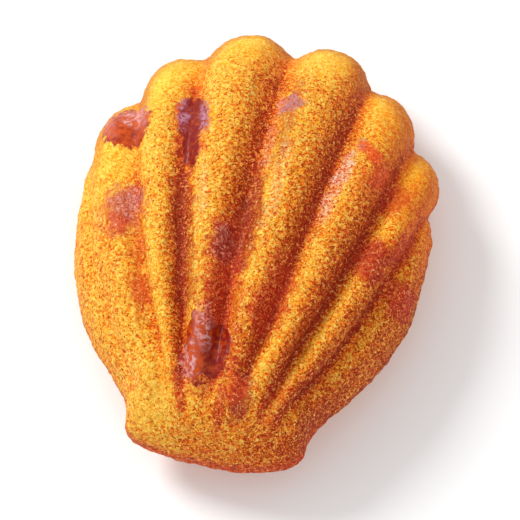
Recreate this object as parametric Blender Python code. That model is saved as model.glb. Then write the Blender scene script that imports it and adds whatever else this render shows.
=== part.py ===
"""Shell madeleine with caramel baked into its crust, lying ribbed side up on the hump of its back.

Metres, +Z up. The cake is drawn with +Y from the middle of its hinge end to the tips of its fan and
+X to the right of that, and is then moved so that the origin is under the middle of its box, on the
surface that it rests on.
"""

import math

import bmesh
import bpy
import numpy as np
from mathutils import Vector, geometry, noise

MM = 0.001

# Outline from above, as a heel with round corners, a flare from the neck to the shoulder, and a fan
HEEL_Y = 0.2 * MM
NECK = (13.1 * MM, 4.5 * MM)
NECK_HANDLE = 8.3 * MM
SHOULDER = (26.3 * MM, 40.0 * MM)
SHOULDER_HANDLE = 25.4 * MM
FAN_TIP_Y = 71.8 * MM
HEEL_ROUNDNESS = 2.15
FAN_ROUNDNESS = 2.05
LEFT_FULLNESS = 1.095
ARC_STEPS = 48

# Crown of the ribbed side, above the rim: it follows a plain egg inside and the outline near the rim
CROWN_RISE = 15.5 * MM
CROWN_ROUNDNESS = 2.3
RIM_HOLD = 5.0
CROWN_LEAN = 0.16
SLOPE_STEP = 0.02 * MM

# Ribs, from the left flank to the right flank, with a groove between each two. The angles are measured
# at the middle of the shoulders, from the fan's tip, and the shares run across the cake at the heel
HEEL_CORNER_DEG = 160.0
FLANK_TOP_DEG = (-85.0, 84.0)
GROOVE_DEG = (-74.5, -48.5, -25.5, 0.0, 27.0, 52.0, 77.0)
GROOVE_DEPTH = (0.8 * MM, 2.3 * MM, 2.5 * MM, 2.7 * MM, 2.7 * MM, 2.6 * MM, 2.2 * MM)
NOTCH_DEPTH = (0.15 * MM, 1.0 * MM, 1.1 * MM, 2.1 * MM, 1.6 * MM, 1.5 * MM, 0.9 * MM)
GROOVE_SHARE = (0.13, 0.285, 0.345, 0.435, 0.565, 0.695, 0.785)
LOBE_REACH = (0.2 * MM, 1.3 * MM, 1.4 * MM, 1.5 * MM, 1.2 * MM, 0.5 * MM, 1.3 * MM, -0.3 * MM)
RIB_ROUNDNESS = 2.8
GROOVE_ROUNDNESS = 2.0
GROOVE_START = 0.03
GROOVE_FULL = 0.30

# Caramel bits baked into the crust: (X, Y, half width, half length along the ribs, rise)
CARAMEL_BITS = (
    (-23.4 * MM, 51.0 * MM, 3.3 * MM, 3.3 * MM, 0.50 * MM),
    (-12.7 * MM, 49.5 * MM, 2.3 * MM, 5.2 * MM, 0.45 * MM),
    (-20.4 * MM, 35.7 * MM, 3.0 * MM, 3.9 * MM, 0.30 * MM),
    (-15.3 * MM, 22.0 * MM, 1.6 * MM, 3.0 * MM, 0.30 * MM),
    (1.6 * MM, 56.3 * MM, 2.0 * MM, 1.8 * MM, 0.25 * MM),
    (16.2 * MM, 47.9 * MM, 1.9 * MM, 3.2 * MM, 0.30 * MM),
    (-3.6 * MM, 13.8 * MM, 3.6 * MM, 5.6 * MM, 0.45 * MM),
    (3.2 * MM, 8.4 * MM, 1.9 * MM, 3.0 * MM, 0.30 * MM),
    (24.0 * MM, 29.2 * MM, 2.3 * MM, 2.9 * MM, 0.30 * MM),
)
RIBS_MEET_Y = -15.0 * MM

# Underside: a rounded edge, a nearly flat border, and a hump with a small flat spot to rest on
EDGE_BELLY = 0.8 * MM
EDGE_THICKNESS = 1.7 * MM
EDGE_INSET = 0.9 * MM
BORDER_FALL = 0.7 * MM
HUMP_DEPTH = 6.3 * MM
HUMP_STEEPNESS = 1.25
FLAT_SHARE = 0.37
FLAT_CORNERS = 8
HUMP_RINGS = 6
MERGE_DISTANCE = 0.01 * MM

# Mesh: steps across each rib and from the heel to the fan
STEPS_PER_RIB = 10
STEPS_ALONG = 42

# Baked unevenness: (size of a swelling, how far it moves the crust)
UNEVENNESS = ((11.0 * MM, 0.30 * MM), (4.5 * MM, 0.14 * MM))

RIBS = len(GROOVE_DEG) + 1


def half_outline():
    """Edge of the right half from above, from the middle of the heel to the tip of the fan."""
    neck_x, neck_y = NECK
    shoulder_x, shoulder_y = SHOULDER
    points = []
    for step in range(ARC_STEPS):
        turn = math.pi / 2 * step / ARC_STEPS
        x = neck_x * math.sin(turn) ** (2 / HEEL_ROUNDNESS)
        y = neck_y - (neck_y - HEEL_Y) * math.cos(turn) ** (2 / HEEL_ROUNDNESS)
        points.append((x, y))
    flare = geometry.interpolate_bezier(
        Vector(NECK),
        Vector((neck_x, neck_y + NECK_HANDLE)),
        Vector((shoulder_x, shoulder_y - SHOULDER_HANDLE)),
        Vector(SHOULDER),
        ARC_STEPS + 1,
    )
    points += [(point.x, point.y) for point in flare[:-1]]
    for step in range(ARC_STEPS + 1):
        turn = math.pi / 2 * step / ARC_STEPS
        x = shoulder_x * abs(math.cos(turn)) ** (2 / FAN_ROUNDNESS)
        y = shoulder_y + (FAN_TIP_Y - shoulder_y) * math.sin(turn) ** (2 / FAN_ROUNDNESS)
        points.append((x, y))
    return np.array(points)


MIDDLE = Vector((0, SHOULDER[1]))
HALF_OUTLINE = half_outline()
HALF_ANGLES = np.degrees(np.arctan2(HALF_OUTLINE[:, 0], HALF_OUTLINE[:, 1] - SHOULDER[1]))
HALF_ANGLES[0] = 180.0
HALF_ANGLES[-1] = 0.0


def edge(degrees):
    """Point of the outline in a direction from the middle of the shoulders, 0 being the fan's tip."""
    x = np.interp(abs(degrees), HALF_ANGLES[::-1], HALF_OUTLINE[::-1, 0])
    y = np.interp(abs(degrees), HALF_ANGLES[::-1], HALF_OUTLINE[::-1, 1])
    if degrees < 0:
        x *= -LEFT_FULLNESS
    return Vector((x, y))


def egg_radius(x, ahead):
    """Distance from the middle of the shoulders to the plain egg that the outline fits around."""
    long = SHOULDER[1] - HEEL_Y if ahead < 0 else FAN_TIP_Y - SHOULDER[1]
    way = math.atan2(x / SHOULDER[0], ahead / long)
    return math.hypot(SHOULDER[0] * math.sin(way), long * math.cos(way))


def rim_share(x, y):
    """How far out a place is, 0 at the middle of the shoulders and 1 on the outline, with no crease."""
    x = abs(x) / (LEFT_FULLNESS if x < 0 else 1)
    ahead = y - SHOULDER[1]
    reach = math.hypot(x, ahead)
    rim = (edge(math.degrees(math.atan2(x, ahead))) - MIDDLE).length
    near_rim = min(reach / rim, 1) ** RIM_HOLD
    return reach * (near_rim / rim + (1 - near_rim) / egg_radius(x, ahead))


def swell(x, y):
    """Square of the crown's rise at a place, as a share of CROWN_RISE, 0 on the outline."""
    lean = 1 - CROWN_LEAN * (y / SHOULDER[1] - 1)
    return (1 - rim_share(x, y) ** CROWN_ROUNDNESS) * lean * lean


def crown(x, y):
    """Point of the smooth crown over a place on the plan, and the way that the crown faces there."""
    rise = CROWN_RISE * math.sqrt(max(swell(x, y), 0))
    fall_x = swell(x - SLOPE_STEP, y) - swell(x + SLOPE_STEP, y)
    fall_y = swell(x, y - SLOPE_STEP) - swell(x, y + SLOPE_STEP)
    steepness = CROWN_RISE**2 / (2 * SLOPE_STEP)
    return Vector((x, y, rise)), Vector((fall_x * steepness, fall_y * steepness, 2 * rise)).normalized()


def side_angle(along, top):
    """Direction of a point on one flank's outline, from the corner of the heel up to its top."""
    corner = math.copysign(HEEL_CORNER_DEG, top)
    angles = np.linspace(corner, top, ARC_STEPS)
    points = np.array([edge(angle) for angle in angles])
    lengths = np.hypot(*np.diff(points, axis=0).T)
    travel = np.concatenate(([0], np.cumsum(lengths)))
    return np.interp(along * travel[-1], travel, angles)


def plan(rib, along):
    """Place on the plan. rib is 0 on the left outline, RIBS on the right and whole in each groove."""
    share = float(np.interp(rib, range(RIBS + 1), (0, *GROOVE_SHARE, 1)))
    ends = (FLANK_TOP_DEG[0], *GROOVE_DEG, FLANK_TOP_DEG[1])
    heel_turn = (180 - HEEL_CORNER_DEG) * (2 * share - 1)
    heel = edge(180 - abs(heel_turn)) if heel_turn >= 0 else edge(-(180 - abs(heel_turn)))
    tip = edge(np.interp(rib, range(RIBS + 1), ends))
    left = edge(side_angle(along, ends[0]))
    right = edge(side_angle(along, ends[-1]))
    corners = (
        (1 - share) * (1 - along) * edge(-HEEL_CORNER_DEG)
        + share * (1 - along) * edge(HEEL_CORNER_DEG)
        + (1 - share) * along * edge(ends[0])
        + share * along * edge(ends[-1])
    )
    return (1 - along) * heel + along * tip + (1 - share) * left + share * right - corners


def groove_depth(groove, along):
    """Depth of a groove, which fades in above the heel and ends as a notch in the fan."""
    if groove in (0, RIBS):
        return 0.0
    start = min(max((along - GROOVE_START) / (GROOVE_FULL - GROOVE_START), 0), 1)
    fade = start * start * (3 - 2 * start)
    middle = GROOVE_DEPTH[groove - 1]
    return fade * (middle + (NOTCH_DEPTH[groove - 1] - middle) * along**3)


def flute(rib, along):
    """How far the crust is drawn in from the crown, least on a rib's crest and most in a groove."""
    left = min(int(rib), RIBS - 1)
    across = 2 * (rib - left) - 1
    depth = groove_depth(left if across < 0 else left + 1, along)
    drawn_in = 1 - (1 - abs(across) ** RIB_ROUNDNESS) ** GROOVE_ROUNDNESS
    return depth * drawn_in - LOBE_REACH[left] * along**4 * (1 - across * across)


def unevenness(point):
    """How far baking pushed the crust out of its mould's shape at a point."""
    return sum(reach * noise.noise(point / size) for size, reach in UNEVENNESS)


def caramel_rise(place):
    """How far the caramel bits stand out of the crust over a place on the plan."""
    rise = 0.0
    for x, y, half_width, half_length, height in CARAMEL_BITS:
        rib_way = math.atan2(x, y - RIBS_MEET_Y)
        away = place - Vector((x, y))
        across = (away.x * math.cos(rib_way) - away.y * math.sin(rib_way)) / half_width
        lengthwise = (away.x * math.sin(rib_way) + away.y * math.cos(rib_way)) / half_length
        rise += height * max(1 - across * across - lengthwise * lengthwise, 0)
    return rise


def shell_point(rib, along):
    """Point of the ribbed crust, above the rim."""
    place = plan(rib, along)
    point, facing = crown(place.x, place.y)
    moved = point + facing * (unevenness(point) + caramel_rise(place) - flute(rib, along))
    on_rim = point.z == 0
    if on_rim:
        moved.z = 0
    return moved


def rib_stations():
    """Places across the ribs, with one in each groove."""
    return [step / STEPS_PER_RIB for step in range(RIBS * STEPS_PER_RIB + 1)]


def along_stations():
    """Places from the heel to the fan, closest together where the crust is steep."""
    return [(1 - math.cos(math.pi * step / STEPS_ALONG)) / 2 for step in range(STEPS_ALONG + 1)]


def underside_depth(place):
    """Depth of the back below the rim over a place on the plan, deepest at the flat spot."""
    inward = min(max((1 - rim_share(*place)) / (1 - FLAT_SHARE), 0), 1)
    bulge = (1 - math.cos(math.pi * inward**HUMP_STEEPNESS)) / 2
    return EDGE_THICKNESS + BORDER_FALL * inward + (HUMP_DEPTH - BORDER_FALL) * bulge


def flat_spot_edge(way):
    """Point on the oval round the flat spot, in a direction from the middle of the plan."""
    plain_x = way.x / (LEFT_FULLNESS if way.x < 0 else 1)
    plain_reach = egg_radius(plain_x, way.y) * FLAT_SHARE / math.hypot(plain_x, way.y)
    return MIDDLE + way * plain_reach


def flat_spot_corner(rim):
    """Corner of the flat spot that lies nearest to the way of a point of the rim."""
    way = rim.to_2d() - MIDDLE
    turn = 2 * math.pi / FLAT_CORNERS
    angle = (math.floor(math.atan2(way.y, way.x) / turn) + 0.5) * turn
    spot = flat_spot_edge(Vector((math.cos(angle), math.sin(angle))))
    return Vector((*spot, -underside_depth(spot)))


def shape_ribbed_side(mesh):
    """Lays a flat grid over the ribs and the crown."""
    ribs = rib_stations()
    alongs = along_stations()
    bmesh.ops.create_grid(mesh, x_segments=len(ribs) - 1, y_segments=len(alongs) - 1, size=1)
    for corner in mesh.verts:
        column = round((corner.co.x + 1) / 2 * (len(ribs) - 1))
        row = round((corner.co.y + 1) / 2 * (len(alongs) - 1))
        corner.co = shell_point(ribs[column], alongs[row])


def belly_point(rim):
    """Point of the rounded edge, straight below a point of the rim."""
    return rim - Vector((0, 0, EDGE_BELLY))


def back_point(rim, inward):
    """Point of the back below a point of the rim: 0 is in the border's edge, 1 by the flat spot."""
    outer = rim.to_2d()
    spot = flat_spot_edge((outer - MIDDLE).normalized())
    place = (outer + (spot - outer).normalized() * EDGE_INSET).lerp(spot, inward)
    return Vector((*place, -underside_depth(place)))


def extrude_ring(mesh, edges, rim_place, lowered):
    """Extrudes the open edge once. lowered gives each new corner's point from its point of the rim."""
    made = bmesh.ops.extrude_edge_only(mesh, edges=edges)["geom"]
    for item in made:
        if isinstance(item, bmesh.types.BMVert):
            item.co = lowered(item[rim_place])
    return [item for item in made if isinstance(item, bmesh.types.BMEdge) and item.is_boundary]


def shape_underside(mesh):
    """Extrudes the rim under the cake, ring by ring, and closes it with the flat spot."""
    rim_place = mesh.verts.layers.float_vector.new("rim")
    edges = [side for side in mesh.edges if side.is_boundary]
    for corner in {corner for side in edges for corner in side.verts}:
        corner[rim_place] = corner.co
    edges = extrude_ring(mesh, edges, rim_place, belly_point)
    for ring in range(HUMP_RINGS):
        inward = ring / HUMP_RINGS
        edges = extrude_ring(mesh, edges, rim_place, lambda rim, inward=inward: back_point(rim, inward))
    edges = extrude_ring(mesh, edges, rim_place, flat_spot_corner)
    lowest = {corner for side in edges for corner in side.verts}
    bmesh.ops.remove_doubles(mesh, verts=list(lowest), dist=MERGE_DISTANCE)
    bmesh.ops.contextual_create(mesh, geom=[side for side in mesh.edges if side.is_boundary])


def centre_on_its_box(mesh):
    """Moves the cake so that the origin is under the middle of its box."""
    places = np.array([corner.co for corner in mesh.verts])
    low, high = places.min(axis=0), places.max(axis=0)
    middle = (low + high) / 2
    bmesh.ops.translate(mesh, verts=mesh.verts, vec=(-middle[0], -middle[1], -low[2]))


def baked_crust():
    """Golden crust of the whole cake."""
    material = bpy.data.materials.new("baked_crust")
    material.use_nodes = True
    shader = material.node_tree.nodes["Principled BSDF"]
    shader.inputs["Base Color"].default_value = (0.72, 0.30, 0.035, 1)
    shader.inputs["Roughness"].default_value = 0.55
    shader.inputs["Metallic"].default_value = 0.0
    return material


def build_madeleine():
    """Makes the whole cake as one closed solid."""
    mesh = bmesh.new()
    shape_ribbed_side(mesh)
    shape_underside(mesh)
    bmesh.ops.recalc_face_normals(mesh, faces=mesh.faces)
    centre_on_its_box(mesh)
    data = bpy.data.meshes.new("madeleine")
    mesh.to_mesh(data)
    mesh.free()
    data.shade_smooth()
    data.materials.append(baked_crust())
    cake = bpy.data.objects.new("madeleine", data)
    bpy.context.scene.collection.objects.link(cake)


def clear_scene():
    """Removes the objects that the file opened with."""
    for leftover in list(bpy.data.objects):
        bpy.data.objects.remove(leftover)


clear_scene()
build_madeleine()
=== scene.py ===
"""Caramel madeleine: a baked crumb crust with melted caramel, laid on a pale table in soft light."""

import math

import bpy
import numpy as np
from bpy.props import FloatProperty, FloatVectorProperty, PointerProperty
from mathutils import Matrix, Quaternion, Vector, noise


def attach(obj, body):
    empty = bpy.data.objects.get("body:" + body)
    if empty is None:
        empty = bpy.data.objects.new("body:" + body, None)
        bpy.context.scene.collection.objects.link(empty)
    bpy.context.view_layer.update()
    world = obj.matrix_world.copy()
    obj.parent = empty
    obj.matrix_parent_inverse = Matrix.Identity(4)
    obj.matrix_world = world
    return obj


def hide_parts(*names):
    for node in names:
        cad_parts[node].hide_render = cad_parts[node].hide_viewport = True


bl_info = {
    "name": "Caramel Madeleine",
    "version": (1, 0, 0),
    "blender": (4, 5, 0),
    "location": "3D View > Sidebar > Madeleine",
    "description": "Builds the baked crust and the melted caramel of a shell-shaped cake",
    "category": "Add Mesh",
}

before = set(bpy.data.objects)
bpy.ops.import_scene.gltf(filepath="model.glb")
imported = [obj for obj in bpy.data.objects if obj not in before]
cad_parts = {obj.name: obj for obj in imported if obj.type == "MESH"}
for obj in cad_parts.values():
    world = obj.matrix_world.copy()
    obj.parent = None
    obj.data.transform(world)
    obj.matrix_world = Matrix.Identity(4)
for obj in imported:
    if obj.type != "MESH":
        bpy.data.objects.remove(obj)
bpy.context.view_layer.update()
MM = 0.001

# Where the ribs would meet behind the heel, the middle of the oval cake and half its width and length
RIBS_MEET = (1.2 * MM, -51.3 * MM)
CAKE_MIDDLE = (0.0 * MM, 3.0 * MM)
CAKE_HALF = (27.0 * MM, 34.5 * MM)
# Heights of the rim, of the border between back and wall, and of the lowest point over the floor
RIM_HEIGHT = 8.0 * MM
BACK_HEIGHT = 6.2 * MM
FLOOR_GAP = 0.02 * MM

# Share of the faces kept on the back, and rounds of smoothing for the skin, the tips and its broad form
BACK_KEPT = 0.24
SKIN_SMOOTHING = 6
TIPS_SMOOTHING = 24
BROAD_SMOOTHING = 400

# Tones of the crust, from 0 for burnt crust and the deepest painted shade to 1 for cream
TONE_STOPS = (
    (0.0, "burnt_and_shaded"), (0.22, "brown"), (0.45, "orange"), (0.65, "golden"), (0.82, "yellow"), (1.0, "cream"),
)
RIBS_TONE = 0.71
TIPS_TONE = 0.86
BACK_TONE = 0.58
# Direction from the flanks of the ribs with painted shade towards those with painted light, that is towards
# the light, and how far each kind turns in tone
PAINTED_LIGHT_SIDE = (-0.92, 0.4)
PAINTED_FLANK_SHADE = 0.6
PAINTED_FLANK_LIGHT = 0.25
# Depth of a groove at which its painted shade starts, how soon the shade is full, and the most that counts
GROOVE_START = 0.25 * MM
GROOVE_DEPTH = 0.9 * MM
GROOVE_MOST = 1.8
# Browner patches: sizes of the broad and the fine ones
BROAD_PATCHES = 7 * MM
FINE_PATCHES = 1.6 * MM
# How far behind the middle the heel starts and is whole, and how far ahead the far tips are
HEEL = (24 * MM, 30 * MM)
FAR = (2 * MM, 14 * MM)
# Degrees left of straight ahead between which the ribs give way to the nearly smooth left flank
LEFT_FLANK = (18.5, 21.5)
# Distances across a spot, in half widths, between which it fades, and the least and most that marks darken
SPOT_FADE = (0.55, 1.35)
MARKS_DARKEN = (-0.14, 0.24)
# Shares inside a pool between which its edge rises, and those between which its colour starts
POOL_RISE = (0.44, 0.6)
POOL_COLOUR = (0.69, 0.74)
# Broad swellings of the crust
SWELLING_SIZE = 3.2 * MM
SWELLING_HEIGHT = 0.175 * MM

# Gloss of dry crust and of wet caramel
DRY_ROUGHNESS = 0.62
WET_ROUGHNESS = 0.32
SPECULAR = 0.15
COAT_SHARE = 0.15
COAT_ROUGHNESS = 0.22
BUMP_STRENGTH = 0.9
WEIGHT_STEPS = 20

# Melted caramel on the crust, in millimetres: x, y, half width, half length, depth of its colour
POOLS = (
    (-21.6, 14.0, 4.0, 4.3, 0.55),
    (-11.3, 15.4, 2.4, 4.8, 1.0),
    (-10.6, 10.6, 1.4, 4.2, 1.0),
    (-0.8, -22.2, 2.5, 4.2, 0.9),
    (-3.4, -22.4, 1.8, 5.2, 0.65),
)
# Marks where caramel soaked into the crust, pale smooth patches, and umber bands of painted shade along the
# grooves, in millimetres:
# x, y, half width, half length, how much it covers, how much it darkens, gloss, colour
MARKS = (
    (-13.7, -14.3, 1.7, 4.2, 0.85, 0.1, 0.3, "russet"),
    (-9.6, -30.6, 3.0, 3.4, 0.6, -0.16, 0.0, "straw"),
    (-9.0, -26.5, 2.0, 4.6, 0.1, -0.08, 0.0, "straw"),
    (-19.0, 7.6, 3.0, 2.6, 0.3, -0.14, 0.0, "straw"),
    (21.2, 7.7, 2.3, 3.2, 0.5, 0.16, 0.3, "stain"),
    (-1.2, -6.5, 3.6, 6.0, 0.7, 0.14, 0.3, "stain"),
    (-2.0, -6.0, 2.7, 2.6, 0.7, 0.2, 0.4, "wine"),
    (-15.2, -8.0, 1.4, 3.2, 0.45, 0.05, 0.2, "russet"),
    (-0.5, -15.0, 3.0, 8.5, 0.5, 0.16, 0.4, "stain"),
    (-0.9, -22.6, 4.4, 6.8, 0.5, 0.18, 0.5, "stain"),
    (6.6, -12.6, 2.8, 6.0, 0.65, 0.12, 0.3, "stain"),
    (4.4, -28.0, 1.7, 3.6, 0.8, 0.2, 0.4, "wine"),
    (3.6, -27.4, 1.6, 2.0, 0.6, 0.0, 0.3, "flame"),
    (1.3, -30.2, 0.9, 3.8, 0.5, 0.22, 0.2, "stain"),
    (-4.9, -28.2, 0.9, 3.6, 0.5, 0.2, 0.2, "stain"),
    (-1.8, -30.0, 1.6, 3.0, 0.1, -0.08, 0.0, "straw"),
    (9.6, -27.0, 1.6, 5.0, 0.3, 0.16, 0.2, "stain"),
    (25.0, -7.0, 3.0, 2.9, 0.85, 0.24, 0.2, "stain"),
    (19.6, -3.4, 2.8, 3.8, 0.85, 0.3, 0.3, "stain"),
    (20.0, -3.4, 2.2, 3.0, 0.35, 0.0, 0.2, "wine"),
    (16.0, 14.8, 1.6, 1.2, 0.9, 0.0, 0.3, "flame"),
    (17.6, 13.0, 1.3, 1.6, 0.95, 0.0, 0.4, "flame"),
    (18.7, 10.2, 1.0, 2.8, 0.95, 0.0, 0.4, "flame"),
    (17.4, 9.0, 2.4, 3.6, 0.35, 0.0, 0.2, "russet"),
    (-11.2, 12.6, 2.4, 7.4, 0.6, 0.2, 0.6, "stain"),
    # Umber bands along the grooves between the ribs: painted shade.
    (-9.6, -1.0, 1.9, 9.0, 0.45, 0.22, 0.2, "umber_groove_shade"),
    (-7.0, -12.0, 1.7, 6.0, 0.4, 0.18, 0.2, "umber_groove_shade"),
    (0.9, -0.5, 1.7, 9.0, 0.7, 0.24, 0.2, "umber_groove_shade"),
    (3.4, 16.0, 1.3, 8.0, 0.45, 0.12, 0.1, "umber_groove_shade"),
    (23.6, 0.4, 1.6, 3.2, 0.5, 0.2, 0.2, "stain"),
    (-19.0, -1.0, 3.3, 4.8, 0.85, 0.08, 0.5, "salmon"),
    (-19.4, -3.6, 2.2, 1.8, 0.7, 0.12, 0.4, "stain"),
)
# Painted sheens: painted reflections on thin caramel and painted highlights on dry crumb, in millimetres:
# x, y, half width, half length, strength, colour
SHEENS = (
    (-20.8, 15.6, 1.9, 1.9, 0.9, "mauve"),
    (-24.2, 13.6, 0.8, 2.2, 0.3, "mauve"),
    (-13.1, 16.0, 0.9, 3.4, 0.9, "lilac"),
    (-9.4, 15.6, 0.8, 3.6, 0.9, "lilac"),
    (-18.6, 0.2, 2.2, 3.6, 0.9, "mauve"),
    (3.0, 20.2, 2.2, 1.8, 1.0, "violet"),
    (-3.0, -19.4, 1.4, 3.4, 0.75, "mauve"),
    (-4.2, -24.4, 1.5, 2.8, 0.8, "mauve"),
    (14.9, 15.4, 0.9, 1.4, 0.5, "lilac"),
    (1.3, 12.5, 1.0, 5.4, 0.5, "mauve"),
    (-2.4, -6.0, 1.6, 3.0, 0.3, "mauve"),
    (12.6, 7.0, 1.3, 6.5, 0.8, "blush_highlight"),
    (3.9, 6.0, 1.2, 9.0, 0.35, "blush_highlight"),
    (-7.2, 2.0, 1.0, 6.0, 0.3, "blush_highlight"),
    (13.5, 11.0, 1.2, 3.4, 0.8, "frost_highlight"),
)


def paint(red, green, blue):
    """Colour for a shader from its red, green and blue out of 255."""
    return tuple(
        value / 12.92 if value <= 0.04045 else ((value + 0.055) / 1.055) ** 2.4
        for value in (red / 255, green / 255, blue / 255)
    )


def colour_property(name, description, default):
    """Property for a colour that a user can change."""
    return FloatVectorProperty(
        name=name, description=description, default=default, size=3, min=0, max=1, subtype="COLOR"
    )


class MadeleineCrustSettings(bpy.types.PropertyGroup):
    """Sizes and colours of the baked crust."""

    mesh_step: FloatProperty(
        name="Mesh Step", description="Size of a face on the ribbed side",
        default=0.3 * MM, min=0.2 * MM, max=1.0 * MM, precision=5, unit="LENGTH",
    )
    crumb_size: FloatProperty(
        name="Crumb Size", description="Distance from one pore of the crumb to the next",
        default=0.5 * MM, min=0.2 * MM, max=2.0 * MM, precision=5, unit="LENGTH",
    )
    crumb_height: FloatProperty(
        name="Crumb Height", description="How far the finest crumb stands out of the crust",
        default=0.2 * MM, min=0, max=0.5 * MM, precision=5, unit="LENGTH",
    )
    lump_size: FloatProperty(
        name="Lump Size", description="Size of the small lumps of the crust",
        default=0.95 * MM, min=0.3 * MM, max=5.0 * MM, precision=5, unit="LENGTH",
    )
    lump_height: FloatProperty(
        name="Lump Height", description="How far the small lumps move the crust",
        default=0.18 * MM, min=0, max=0.6 * MM, precision=5, unit="LENGTH",
    )
    contrast: FloatProperty(
        name="Crumb Contrast", description="How much the pores and the ridges between them differ in tone",
        default=1.5, min=0, max=3, subtype="FACTOR",
    )
    toast: colour_property("Toast", "Steep edge that touched the tin", paint(176, 94, 26))
    # Darkest tone: burnt crust, and the painted shade at the bottom of the grooves.
    burnt_and_shaded: colour_property("Burnt", "Crust at the bottom of the grooves", paint(152, 36, 8))
    brown: colour_property("Brown", "Well baked crust", paint(206, 64, 8))
    orange: colour_property("Orange", "Evenly baked crust", paint(234, 104, 12))
    golden: colour_property("Golden", "Lightly baked crust", paint(248, 142, 12))
    yellow: colour_property("Yellow", "Palest crust", paint(252, 174, 16))
    # Painted highlight on the highest crumbs.
    fleck: colour_property("Flecks", "Highest crumbs, where they shine", paint(255, 208, 128))
    cream: colour_property("Cream", "Thin walls between the pores", paint(255, 218, 84))


class MadeleineCaramelSettings(bpy.types.PropertyGroup):
    """Sizes and colours of the melted caramel, and colours of the painted sheens and of the painted shade in
    the grooves.
    """

    thickness: FloatProperty(
        name="Thickness", description="Height of a pool of caramel above the smooth crust",
        default=0.1 * MM, min=0, max=1.0 * MM, precision=5, unit="LENGTH",
    )
    ripple_size: FloatProperty(
        name="Ripple Size", description="Distance from one swelling of the caramel to the next",
        default=0.9 * MM, min=0.3 * MM, max=3.0 * MM, precision=5, unit="LENGTH",
    )
    amber: colour_property("Amber", "Thin caramel", paint(222, 92, 10))
    dark: colour_property("Dark Caramel", "Thick caramel", paint(128, 18, 8))
    stain: colour_property("Stain", "Crust that caramel soaked into", paint(200, 52, 16))
    # Painted shade: dark brown bands in the grooves between the ribs.
    umber_groove_shade: colour_property("Umber", "Dark brown in the grooves between the ribs", paint(158, 54, 22))
    russet: colour_property("Russet", "Thin caramel that dried on the crust", paint(212, 78, 24))
    straw: colour_property("Straw", "Pale smooth crust", paint(244, 182, 60))
    salmon: colour_property("Salmon", "Thin caramel with a reddish tint", paint(190, 76, 48))
    # Mauve, lilac and violet: colours of painted reflections on wet caramel.
    mauve: colour_property("Mauve", "Pinkish sheen on wet caramel", paint(222, 160, 156))
    lilac: colour_property("Lilac", "Reddish violet sheen on wet caramel", paint(184, 122, 144))
    violet: colour_property("Violet", "Bluish violet sheen on thin caramel", paint(180, 146, 184))
    flame: colour_property("Flame", "Bright caramel between the crumbs", paint(228, 70, 10))
    wine: colour_property("Wine", "Crust that drank the most caramel", paint(150, 30, 18))
    # Frost and blush: colours of painted highlights on the crumb.
    frost_highlight: colour_property("Frost", "Palest sheen", paint(244, 222, 214))
    blush_highlight: colour_property("Blush", "Pale sheen on the crumb", paint(250, 216, 190))


class MadeleineStageSettings(bpy.types.PropertyGroup):
    """Floor, lights and camera."""

    floor: colour_property("Floor", "Pale floor", (0.95, 0.95, 0.95))
    fill: FloatProperty(
        name="Fill Light", description="Power of the weak light from the lower right",
        default=1.0, min=0, unit="POWER",
    )
    key: FloatProperty(
        name="Key Light", description="Power of the soft light from the upper left",
        default=4.2, min=0, unit="POWER",
    )
    sky: FloatProperty(
        name="Sky", description="Brightness of the even light from all round", default=0.68, min=0,
    )
    lens: FloatProperty(
        name="Lens", description="Focal length of the camera in millimetres", default=200, min=10,
    )


def deselect_all():
    """Leaves no object selected."""
    for piece in bpy.context.selected_objects:
        piece.select_set(False)


def make_active(piece):
    """Selects one object alone."""
    deselect_all()
    piece.select_set(True)
    bpy.context.view_layer.objects.active = piece


def copy_of_node(node, name):
    """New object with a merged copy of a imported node's mesh."""
    piece = bpy.data.objects.new(name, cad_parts[node].data.copy())
    piece.data.materials.clear()
    bpy.context.scene.collection.objects.link(piece)
    make_active(piece)
    bpy.ops.object.mode_set(mode="EDIT")
    bpy.ops.mesh.select_all(action="SELECT")
    bpy.ops.mesh.remove_doubles(threshold=0.001 * MM)
    bpy.ops.mesh.normals_make_consistent(inside=False)
    bpy.ops.object.mode_set(mode="OBJECT")
    return piece


def apply_modifier(piece, kind, **settings):
    """Adds a modifier to a piece and applies it at once."""
    make_active(piece)
    modifier = piece.modifiers.new(kind.title(), kind)
    for name, value in settings.items():
        setattr(modifier, name, value)
    bpy.ops.object.modifier_apply(modifier=modifier.name)


def places_of(mesh):
    """Places of all corners of a mesh as an array."""
    places = np.empty(len(mesh.vertices) * 3, np.float32)
    mesh.vertices.foreach_get("co", places)
    return places.reshape(-1, 3).astype(float)


def normals_of(mesh):
    """Outward directions at all corners of a mesh as an array."""
    normals = np.empty(len(mesh.vertices) * 3, np.float32)
    mesh.vertex_normals.foreach_get("vector", normals)
    return normals.reshape(-1, 3).astype(float)


def move_corners(mesh, places):
    """Puts the corners of a mesh in new places."""
    mesh.vertices.foreach_set("co", places.astype(np.float32).ravel())
    mesh.update()


def clouds(places, size, octaves=3):
    """Cloudy noise at each place, about -1 to 1, with swellings of the given size."""
    return np.array([noise.fractal(Vector(place) / size, 1.0, 2.0, octaves) for place in places])


def ramp(value, start, end):
    """Smooth step from 0 at start to 1 at end."""
    share = np.clip((value - start) / (end - start), 0, 1)
    return share * share * (3 - 2 * share)


def spot_distance(places, spot):
    """Distance from the middle of an oval spot that lies along the ribs: 1 on its edge."""
    x, y, half_width, half_length = (value * MM for value in spot[:4])
    along = np.array([x - RIBS_MEET[0], y - RIBS_MEET[1]])
    along /= np.linalg.norm(along)
    across = np.array([along[1], -along[0]])
    offset = places[:, :2] - (x, y)
    return np.hypot(offset @ across / half_width, offset @ along / half_length)


def lay(cover, colour, layer, tint):
    """Lays one more tint over a colour, which changes in place, and gives the new cover."""
    cover = 1 - (1 - cover) * (1 - layer)
    colour += (np.array(tint) - colour) * (layer / np.maximum(cover, 1e-6))[:, None]
    return cover


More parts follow.
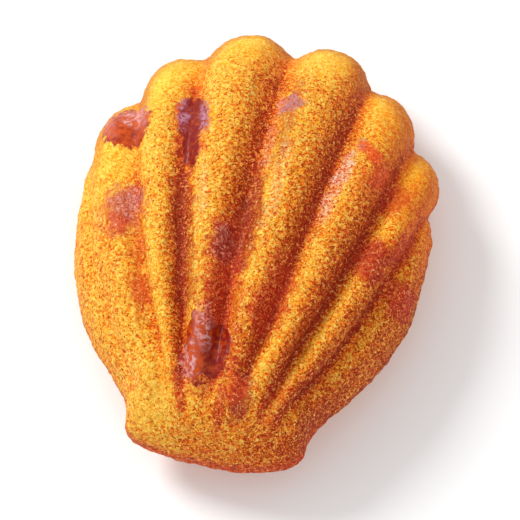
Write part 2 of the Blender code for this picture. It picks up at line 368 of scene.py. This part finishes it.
def spot_share(places, spot, ragged):
    """1 inside a soft spot with a ragged edge, 0 outside."""
    return 1 - ramp(spot_distance(places, spot) + ragged, *SPOT_FADE)


def lay_spots(places, spots, ragged):
    """Total cover and mixed colour of soft spots, each with its cover and the name of its colour."""
    caramel = bpy.context.scene.madeleine_caramel
    cover = np.zeros(len(places))
    colour = np.tile(np.array(caramel.stain), (len(places), 1))
    for *spot, covers, tint in spots:
        cover = lay(cover, colour, spot_share(places, spot, ragged) * covers, getattr(caramel, tint))
    return cover, colour


def mark_crust(places, ragged):
    """How much the marks darken and gloss each place."""
    dark, gloss = np.zeros(len(places)), np.zeros(len(places))
    for mark in MARKS:
        darkens, shines = mark[5:7]
        share = spot_share(places, mark, ragged)
        dark += share * darkens
        gloss = np.maximum(gloss, share * shines)
    return np.clip(dark, *MARKS_DARKEN), gloss


def pool_places(places):
    """How far each place lies inside the pools, 0.5 at their edge, and how deep their colour is there."""
    inside, depth = np.zeros(len(places)), np.zeros(len(places))
    for *spot, deep in POOLS:
        reach = 1 - spot_distance(places, spot) / 2
        depth = np.where(reach > inside, deep, depth)
        inside = np.maximum(inside, reach)
    return inside * (places[:, 2] > RIM_HEIGHT - 1 * MM), depth


def set_attribute(mesh, name, values):
    """Stores one number for each corner of a mesh."""
    layer = mesh.attributes.new(name, "FLOAT", "POINT")
    layer.data.foreach_set("value", np.asarray(values, np.float32))


def set_colours(mesh, name, colours):
    """Stores one colour for each corner of a mesh."""
    layer = mesh.color_attributes.new(name, "FLOAT_COLOR", "POINT")
    full = np.ones((len(colours), 4), np.float32)
    full[:, :3] = colours
    layer.data.foreach_set("color", full.ravel())


def attribute_values(mesh, name):
    """One number for each corner of a mesh."""
    values = np.empty(len(mesh.vertices), np.float32)
    mesh.attributes[name].data.foreach_get("value", values)
    return values.astype(float)


def set_group(piece, name, weights):
    """Makes a vertex group from one weight for each corner, in even steps."""
    group = piece.vertex_groups.new(name=name)
    steps = np.round(np.clip(weights, 0, 1) * WEIGHT_STEPS).astype(int)
    for step in range(1, WEIGHT_STEPS + 1):
        chosen = np.nonzero(steps == step)[0].tolist()
        if chosen:
            group.add(chosen, step / WEIGHT_STEPS, "REPLACE")
    return group.name


def clouds_texture(name, size, depth):
    """Cloudy pattern for a displacement."""
    pattern = bpy.data.textures.new(name, "CLOUDS")
    pattern.noise_scale = size
    pattern.noise_depth = depth
    return pattern


def add_node(tree, kind, inputs=None, **settings):
    """Adds a shader node, with values or links for its inputs."""
    node = tree.nodes.new(kind)
    for name, value in settings.items():
        setattr(node, name, value)
    for name, value in (inputs or {}).items():
        if isinstance(value, bpy.types.NodeSocket):
            tree.links.new(value, node.inputs[name])
        else:
            node.inputs[name].default_value = value
    return node


def calculate(tree, operation, first, second, third=0.0, clamp=False):
    """Adds a calculation on two or three values or links and gives its result."""
    values = {0: first, 1: second, 2: third}
    return add_node(tree, "ShaderNodeMath", values, operation=operation, use_clamp=clamp).outputs[0]


def blend_colours(tree, share, first, second):
    """Mixes two colours by a share and gives the result."""
    node = tree.nodes.new("ShaderNodeMix")
    node.data_type = "RGBA"
    for socket, value in ((node.inputs[0], share), (node.inputs[6], first), (node.inputs[7], second)):
        if isinstance(value, bpy.types.NodeSocket):
            tree.links.new(value, socket)
        else:
            socket.default_value = value if isinstance(value, float) else (*value, 1)
    return node.outputs[2]


def blend_values(tree, share, first, second):
    """Mixes two numbers by a linked share and gives the result."""
    node = add_node(tree, "ShaderNodeMapRange", {"Value": share, "To Min": first, "To Max": second})
    return node.outputs["Result"]


def attribute(tree, name):
    """Reads one number that is stored on the mesh."""
    return add_node(tree, "ShaderNodeAttribute", attribute_name=name).outputs["Fac"]


def colour_ramp(tree, value, stops):
    """Turns a number into a colour through a list of (position, colour)."""
    node = add_node(tree, "ShaderNodeValToRGB", {"Fac": value})
    elements = node.color_ramp.elements
    while len(elements) < len(stops):
        elements.new(0.5)
    for element, (position, colour) in zip(elements, stops):
        element.position = position
        element.color = (*colour, 1)
    return node.outputs["Color"]


def new_material(name):
    """New node material with its shader."""
    material = bpy.data.materials.new(name)
    material.use_nodes = True
    tree = material.node_tree
    return material, tree, tree.nodes["Principled BSDF"]


def linear(tree, value, start, end, low=0.0, high=1.0):
    """Turns a value that runs from start to end into one that runs from low to high."""
    node = add_node(tree, "ShaderNodeMapRange", {
        "Value": value, "From Min": start, "From Max": end, "To Min": low, "To Max": high})
    return node.outputs["Result"]


def crumb_pattern(tree, place, size):
    """Porous crumb from 0 in the pores to 1 on the thin walls between them."""
    grain = add_node(
        tree, "ShaderNodeTexNoise",
        {"Vector": place, "Scale": 1 / size, "Detail": 2.0, "Roughness": 0.6, "Distortion": 0.8},
    ).outputs["Fac"]
    vein = add_node(
        tree, "ShaderNodeTexNoise",
        {"Vector": place, "Scale": 1.2 / size, "Detail": 1.0, "Roughness": 0.5, "Distortion": 1.2},
    ).outputs["Fac"]
    off_vein = calculate(tree, "ABSOLUTE", calculate(tree, "SUBTRACT", vein, 0.52), 0.0)
    walls = linear(tree, off_vein, 0.01, 0.075, 1.0, 0.0)
    holes = add_node(
        tree, "ShaderNodeTexVoronoi",
        {"Vector": place, "Scale": 0.85 / size, "Randomness": 1.0}, feature="F1",
    ).outputs["Distance"]
    pores = linear(tree, holes, 0.12, 0.34, 1.0, 0.0)
    lit = calculate(tree, "MULTIPLY_ADD", walls, 0.46, linear(tree, grain, 0.3, 0.7, 0.1, 0.76))
    return calculate(tree, "MULTIPLY_ADD", pores, -0.32, lit)


def attribute_colour(tree, name):
    """Reads one colour that is stored on the mesh."""
    return add_node(tree, "ShaderNodeAttribute", attribute_name=name).outputs["Color"]


def baked_colour(tree, crumb, crust):
    """Colour of the crust: browner in its pores, paler on the walls between them."""
    swing = calculate(
        tree, "MULTIPLY", calculate(tree, "SUBTRACT", crumb, 0.5),
        calculate(tree, "MULTIPLY", attribute(tree, "grain"), crust.contrast),
    )
    tone = calculate(tree, "ADD", attribute(tree, "tone"), swing, clamp=True)
    return colour_ramp(tree, tone, [(stop, getattr(crust, name)) for stop, name in TONE_STOPS])


def stained_colour(tree, crumb, baked, fleck_colour):
    """Colour of the crust with the caramel that soaked into it, and painted highlights as pale flecks on its
    highest crumbs.
    """
    cover = calculate(tree, "MULTIPLY", attribute(tree, "cover"), linear(tree, crumb, 0.1, 0.55, 0.4, 1.0))
    speckled = add_node(
        tree, "ShaderNodeVectorMath",
        {0: attribute_colour(tree, "mark"), "Scale": linear(tree, crumb, 0.0, 1.0, 0.4, 1.6)},
        operation="SCALE",
    ).outputs["Vector"]
    stained = blend_colours(tree, cover, baked, speckled)
    fleck = calculate(tree, "MULTIPLY", linear(tree, crumb, 0.76, 1.0, 0.0, 0.7), attribute(tree, "grain"))
    return blend_colours(tree, fleck, stained, fleck_colour)


def crust_material(crust, caramel):
    """Porous baked crust with caramel soaked into it and melted on it."""
    material, tree, shader = new_material("baked_crust")
    place = add_node(tree, "ShaderNodeTexCoord").outputs["Object"]
    crumb = crumb_pattern(tree, place, crust.crumb_size)
    ripple = add_node(tree, "ShaderNodeTexNoise", {
        "Vector": place, "Scale": 1 / caramel.ripple_size, "Detail": 3.0, "Roughness": 0.55,
        "Distortion": 0.6,
    }).outputs["Fac"]
    stained = stained_colour(tree, crumb, baked_colour(tree, crumb, crust), tuple(crust.fleck))
    melted = linear(tree, calculate(tree, "MULTIPLY_ADD", ripple, 0.4, attribute(tree, "pool")), *POOL_COLOUR)
    depth = calculate(
        tree, "MULTIPLY_ADD", calculate(tree, "SUBTRACT", ripple, 0.5), 1.8, attribute(tree, "depth"),
        clamp=True,
    )
    wet = blend_colours(tree, melted, stained, blend_colours(tree, depth, caramel.amber, caramel.dark))
    # Painted sheens: painted reflections and highlights, on the crumb's walls and the caramel's swellings.
    grain = blend_values(tree, melted, linear(tree, crumb, 0.48, 0.76), linear(tree, ripple, 0.46, 0.6))
    sheen = calculate(tree, "MULTIPLY", attribute(tree, "sheen"), grain)
    colour = blend_colours(tree, sheen, wet, attribute_colour(tree, "sheen_tint"))
    tree.links.new(colour, shader.inputs["Base Color"])
    shine = calculate(tree, "MAXIMUM", melted, attribute(tree, "gloss"))
    roughness = linear(tree, shine, 0.0, 1.0, DRY_ROUGHNESS, WET_ROUGHNESS)
    tree.links.new(roughness, shader.inputs["Roughness"])
    shader.inputs["Specular IOR Level"].default_value = SPECULAR
    tree.links.new(calculate(tree, "MULTIPLY", shine, COAT_SHARE), shader.inputs["Coat Weight"])
    shader.inputs["Coat Roughness"].default_value = COAT_ROUGHNESS
    rough = calculate(tree, "MULTIPLY", crumb, attribute(tree, "grain"))
    relief = add_node(tree, "ShaderNodeBump", {
        "Height": blend_values(tree, melted, rough, ripple), "Strength": BUMP_STRENGTH,
        "Distance": crust.crumb_height,
    })
    tree.links.new(relief.outputs["Normal"], shader.inputs["Normal"])
    return material


def outward(places):
    """How far each place lies from the middle of the cake towards its rim, about 1 at the rim."""
    return np.hypot(places[:, 0] / CAKE_HALF[0], (places[:, 1] - CAKE_MIDDLE[1]) / CAKE_HALF[1])


def tips_share(places):
    """1 at the round tips of the ribs, 0 elsewhere."""
    return ramp(outward(places), 0.6, 0.92) * ramp(places[:, 1], -12 * MM, 14 * MM)


def smooth_skin():
    """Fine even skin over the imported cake, coarser on its back."""
    crust = bpy.context.scene.madeleine_crust
    piece = copy_of_node("madeleine", "crust")
    apply_modifier(piece, "REMESH", mode="VOXEL", voxel_size=crust.mesh_step, adaptivity=0.0)
    apply_modifier(piece, "SMOOTH", factor=0.5, iterations=SKIN_SMOOTHING)
    set_group(piece, "tips", tips_share(places_of(piece.data)))
    apply_modifier(piece, "SMOOTH", factor=0.5, iterations=TIPS_SMOOTHING, vertex_group="tips")
    places = places_of(piece.data)
    back = places[:, 2] < BACK_HEIGHT
    set_group(piece, "back", back.astype(float))
    ratio = 1 - (1 - BACK_KEPT) * back.mean()
    apply_modifier(piece, "DECIMATE", ratio=ratio, vertex_group="back", use_collapse_triangulate=True)
    piece.vertex_groups.clear()
    return piece


def relief_of(piece):
    """Height of each corner above a broadly smoothed copy of the skin."""
    broad = bpy.data.objects.new("broad", piece.data.copy())
    bpy.context.scene.collection.objects.link(broad)
    apply_modifier(broad, "SMOOTH", factor=1.0, iterations=BROAD_SMOOTHING)
    height = np.einsum("ij,ij->i", places_of(piece.data) - places_of(broad.data), normals_of(piece.data))
    data = broad.data
    bpy.data.objects.remove(broad)
    bpy.data.meshes.remove(data)
    return height


class Skin:
    """The skin's places, directions, relief and noise, and how far each corner is a tip, a back and so on."""

    def __init__(self, piece):
        self.places = places_of(piece.data)
        self.normals = normals_of(piece.data)
        relief = relief_of(piece)
        x, y, z = self.places.T
        facing_up = self.normals[:, 2]
        self.side = x / CAKE_HALF[0]
        self.out = outward(self.places)
        self.broad = clouds(self.places, BROAD_PATCHES)
        self.fine = clouds(self.places, FINE_PATCHES)
        self.back = 1 - ramp(z, BACK_HEIGHT - 0.6 * MM, BACK_HEIGHT + 0.6 * MM)
        self.tip = tips_share(self.places)
        self.groove = np.clip((GROOVE_START - relief) / GROOVE_DEPTH, 0, GROOVE_MOST)
        turn = np.degrees(np.arctan2(RIBS_MEET[0] - x, y - RIBS_MEET[1]))
        self.ribbed = 1 - 0.85 * ramp(turn, *LEFT_FLANK)
        self.heel = ramp(-y, *HEEL)
        self.far = ramp(y, *FAR)
        self.low = 1 - ramp(z, RIM_HEIGHT + 0.8 * MM, RIM_HEIGHT + (1.8 + self.heel) * MM)
        self.high = ramp(z, RIM_HEIGHT + 1.5 * MM, RIM_HEIGHT + 4 * MM + 0.5 * MM * self.fine)
        self.wall = ramp(self.out, 0.7, 0.9) * (1 - ramp(facing_up, 0.5, 0.85))
        self.wall *= 1 - 0.5 * ramp(self.side, 0.5, 0.9)


def rib_tone(skin):
    """How pale the ribbed side is: palest on the tips, darker towards the right, with painted shade in the
    grooves and on the flanks that face away from the light, and painted light on the flanks that face it.
    """
    side, tip = skin.side, skin.tip
    pale = RIBS_TONE + 0.04 * ramp(-skin.places[:, 0], -1 * MM, 14 * MM) - 0.1 * ramp(side, 0.2, 0.7)
    pale += (TIPS_TONE - 0.13 * ramp(side, 0.2, 0.9) - pale) * tip
    # Painted shade on the flanks that face away from the light, painted light on those that face it.
    away = -skin.normals[:, :2] @ PAINTED_LIGHT_SIDE
    flank_shading = PAINTED_FLANK_SHADE * np.clip(away, 0, 0.9) * (1 - 0.4 * ramp(side, 0.4, 0.8))
    flank_shading += PAINTED_FLANK_LIGHT * np.clip(away, -0.4, 0)
    # Painted shade in the grooves, weaker on the tips left of the middle.
    groove = (0.4 - 0.2 * tip * (1 - ramp(side, 0.2, 0.5))) * skin.groove
    # Painted shade of grooves and flanks, fading on the smooth left flank, with browning near the rim and on
    # the steep walls.
    browning_and_shade = (groove + (1 - 0.3 * tip) * flank_shading) * skin.ribbed + 0.12 * skin.low + 0.06 * skin.wall
    return pale - browning_and_shade + 0.07 * skin.broad + 0.05 * skin.fine


def back_tone(skin):
    """How pale the back is: evenly golden, browner towards the rim."""
    pale = BACK_TONE + 0.1 * ramp(-skin.normals[:, 2], 0.3, 1.0) - 0.2 * ramp(skin.out, 0.72, 1.0)
    return pale + 0.08 * skin.broad + 0.05 * skin.fine


def bake_tones(piece):
    """Stores how brown the crust is, with painted shade and painted light in its tone, how marked, glossy and
    grainy it is, and its painted sheens, at each corner.
    """
    mesh = piece.data
    skin = Skin(piece)
    front = 1 - skin.back
    ragged = 0.4 * skin.fine + 0.25 * skin.broad
    dark, gloss = (values * skin.high for values in mark_crust(skin.places, ragged))
    set_attribute(mesh, "tone", front * (rib_tone(skin) - dark) + skin.back * back_tone(skin))
    set_attribute(mesh, "gloss", gloss * front)
    calm = (1 - 0.6 * skin.tip) * (1 - 0.15 * np.minimum(skin.groove, 1))
    set_attribute(mesh, "grain", calm * (1 - 0.3 * gloss) * (1 - 0.4 * skin.back))
    pool, depth = pool_places(skin.places)
    set_attribute(mesh, "pool", pool)
    set_attribute(mesh, "depth", depth)
    crust = bpy.context.scene.madeleine_crust
    cover, colour = lay_spots(skin.places, [(*mark[:5], mark[7]) for mark in MARKS], ragged)
    cover = lay(cover * skin.high, colour, 0.75 * skin.wall * skin.far * front, crust.toast)
    cover = lay(cover, colour, 0.85 * skin.low * skin.heel * front, crust.brown)
    set_attribute(mesh, "cover", cover)
    set_colours(mesh, "mark", colour)
    # Painted sheens: painted reflections and highlights.
    sheen, tint = lay_spots(skin.places, SHEENS, ragged)
    set_attribute(mesh, "sheen", sheen * skin.high)
    set_colours(mesh, "sheen_tint", tint)


def raise_crumb(piece):
    """Raises the pools of caramel, and moves the skin out and in by small lumps and pits."""
    crust = bpy.context.scene.madeleine_crust
    mesh = piece.data
    pool = ramp(attribute_values(mesh, "pool"), *POOL_RISE)
    thickness = bpy.context.scene.madeleine_caramel.thickness
    move_corners(mesh, places_of(mesh) + normals_of(mesh) * (thickness * pool)[:, None])
    calm = (1 - 0.5 * attribute_values(mesh, "gloss")) * (1 - 0.6 * pool)
    group = set_group(piece, "lumpy", calm)
    apply_modifier(
        piece, "DISPLACE", texture=clouds_texture("lumps", crust.lump_size, 1), texture_coords="LOCAL",
        mid_level=0.5, strength=crust.lump_height * 2, vertex_group=group,
    )
    apply_modifier(
        piece, "DISPLACE", texture=clouds_texture("swellings", SWELLING_SIZE, 1), texture_coords="LOCAL",
        mid_level=0.5, strength=SWELLING_HEIGHT * 2, vertex_group=group,
    )
    piece.vertex_groups.clear()
    places = places_of(mesh)
    places[:, 2] = np.maximum(places[:, 2], FLOOR_GAP)
    move_corners(mesh, places)


class MADELEINE_OT_cake(bpy.types.Operator):
    """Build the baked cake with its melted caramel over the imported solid"""

    bl_idname = "madeleine.cake"
    bl_label = "Baked Cake"

    def execute(self, context):
        piece = smooth_skin()
        bake_tones(piece)
        raise_crumb(piece)
        scene = context.scene
        piece.data.materials.append(crust_material(scene.madeleine_crust, scene.madeleine_caramel))
        piece.data.shade_smooth()
        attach(piece, "root")
        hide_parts("madeleine")
        return {"FINISHED"}


CAMERA_AZIMUTH = 16.0
CAMERA_ELEVATION = 66.0
CAMERA_ROLL = 6.0
CAMERA_DISTANCE = 0.442
CAMERA_TARGET = (0.0024, -0.0036, 0.013)
FLOOR_SIZE = 3.0
KEY_PLACE = (-0.50, 0.24, 0.50)
KEY_SIZE = 0.3
FILL_PLACE = (0.30, -0.52, 0.55)
FILL_SIZE = 0.5


def place_camera(lens):
    """Camera at the angle of the photograph."""
    azimuth, elevation = math.radians(CAMERA_AZIMUTH), math.radians(CAMERA_ELEVATION)
    back = Vector((
        math.sin(azimuth) * math.cos(elevation), -math.cos(azimuth) * math.cos(elevation), math.sin(elevation)
    ))
    data = bpy.data.cameras.new("camera")
    data.lens = lens
    data.sensor_width = 36
    data.clip_start = 0.01
    camera = bpy.data.objects.new("camera", data)
    camera.rotation_mode = "QUATERNION"
    camera.location = Vector(CAMERA_TARGET) + back * CAMERA_DISTANCE
    roll = Quaternion((0, 0, 1), math.radians(-CAMERA_ROLL))
    camera.rotation_quaternion = back.to_track_quat("Z", "Y") @ roll
    bpy.context.scene.collection.objects.link(camera)
    bpy.context.scene.camera = camera


def place_light(name, place, size, power):
    """Large soft light that points at the cake."""
    data = bpy.data.lights.new(name, "AREA")
    data.shape = "DISK"
    data.size = size
    data.energy = power
    light = bpy.data.objects.new(name, data)
    light.location = place
    light.rotation_euler = Vector(place).to_track_quat("Z", "Y").to_euler()
    bpy.context.scene.collection.objects.link(light)


class MADELEINE_OT_stage(bpy.types.Operator):
    """Set the pale floor, the soft light and the camera"""

    bl_idname = "madeleine.stage"
    bl_label = "Floor, Light and Camera"

    def execute(self, context):
        settings = context.scene.madeleine_stage
        deselect_all()
        bpy.ops.mesh.primitive_plane_add(size=FLOOR_SIZE, location=(0, 0, 0))
        floor = context.active_object
        floor.name = "floor"
        material, tree, shader = new_material("pale_floor")
        shader.inputs["Base Color"].default_value = (*settings.floor, 1)
        shader.inputs["Roughness"].default_value = 0.9
        shader.inputs["Specular IOR Level"].default_value = 0.1
        floor.data.materials.append(material)
        place_light("key", KEY_PLACE, KEY_SIZE, settings.key)
        place_light("fill", FILL_PLACE, FILL_SIZE, settings.fill)
        world = bpy.data.worlds.new("soft_sky")
        world.use_nodes = True
        background = world.node_tree.nodes["Background"]
        background.inputs["Color"].default_value = (1, 1, 1, 1)
        background.inputs["Strength"].default_value = settings.sky
        context.scene.world = world
        context.scene.view_settings.view_transform = "Standard"
        place_camera(settings.lens)
        return {"FINISHED"}


class MADELEINE_PT_panel(bpy.types.Panel):
    """Buttons and settings of the madeleine."""

    bl_idname = "MADELEINE_PT_panel"
    bl_label = "Caramel Madeleine"
    bl_space_type = "VIEW_3D"
    bl_region_type = "UI"
    bl_category = "Madeleine"

    def draw(self, context):
        scene = context.scene
        for operator, groups in (
            (MADELEINE_OT_cake, (scene.madeleine_crust, scene.madeleine_caramel)),
            (MADELEINE_OT_stage, (scene.madeleine_stage,)),
        ):
            box = self.layout.box()
            box.operator(operator.bl_idname)
            for settings in groups:
                for name in settings.__annotations__:
                    box.prop(settings, name)


SETTINGS = {
    "madeleine_crust": MadeleineCrustSettings,
    "madeleine_caramel": MadeleineCaramelSettings,
    "madeleine_stage": MadeleineStageSettings,
}
BUTTONS = (MADELEINE_OT_cake, MADELEINE_OT_stage, MADELEINE_PT_panel)


def register():
    """Adds the settings, the operators and the panel."""
    for name, settings in SETTINGS.items():
        bpy.utils.register_class(settings)
        setattr(bpy.types.Scene, name, PointerProperty(type=settings))
    for button in BUTTONS:
        bpy.utils.register_class(button)


def unregister():
    """Takes the settings, the operators and the panel away again."""
    for button in reversed(BUTTONS):
        bpy.utils.unregister_class(button)
    for name, settings in reversed(SETTINGS.items()):
        delattr(bpy.types.Scene, name)
        bpy.utils.unregister_class(settings)


def main():
    """Makes the madeleine and its stage."""
    register()
    bpy.ops.madeleine.stage()
    bpy.ops.madeleine.cake()


if __name__ == "__main__":
    main()
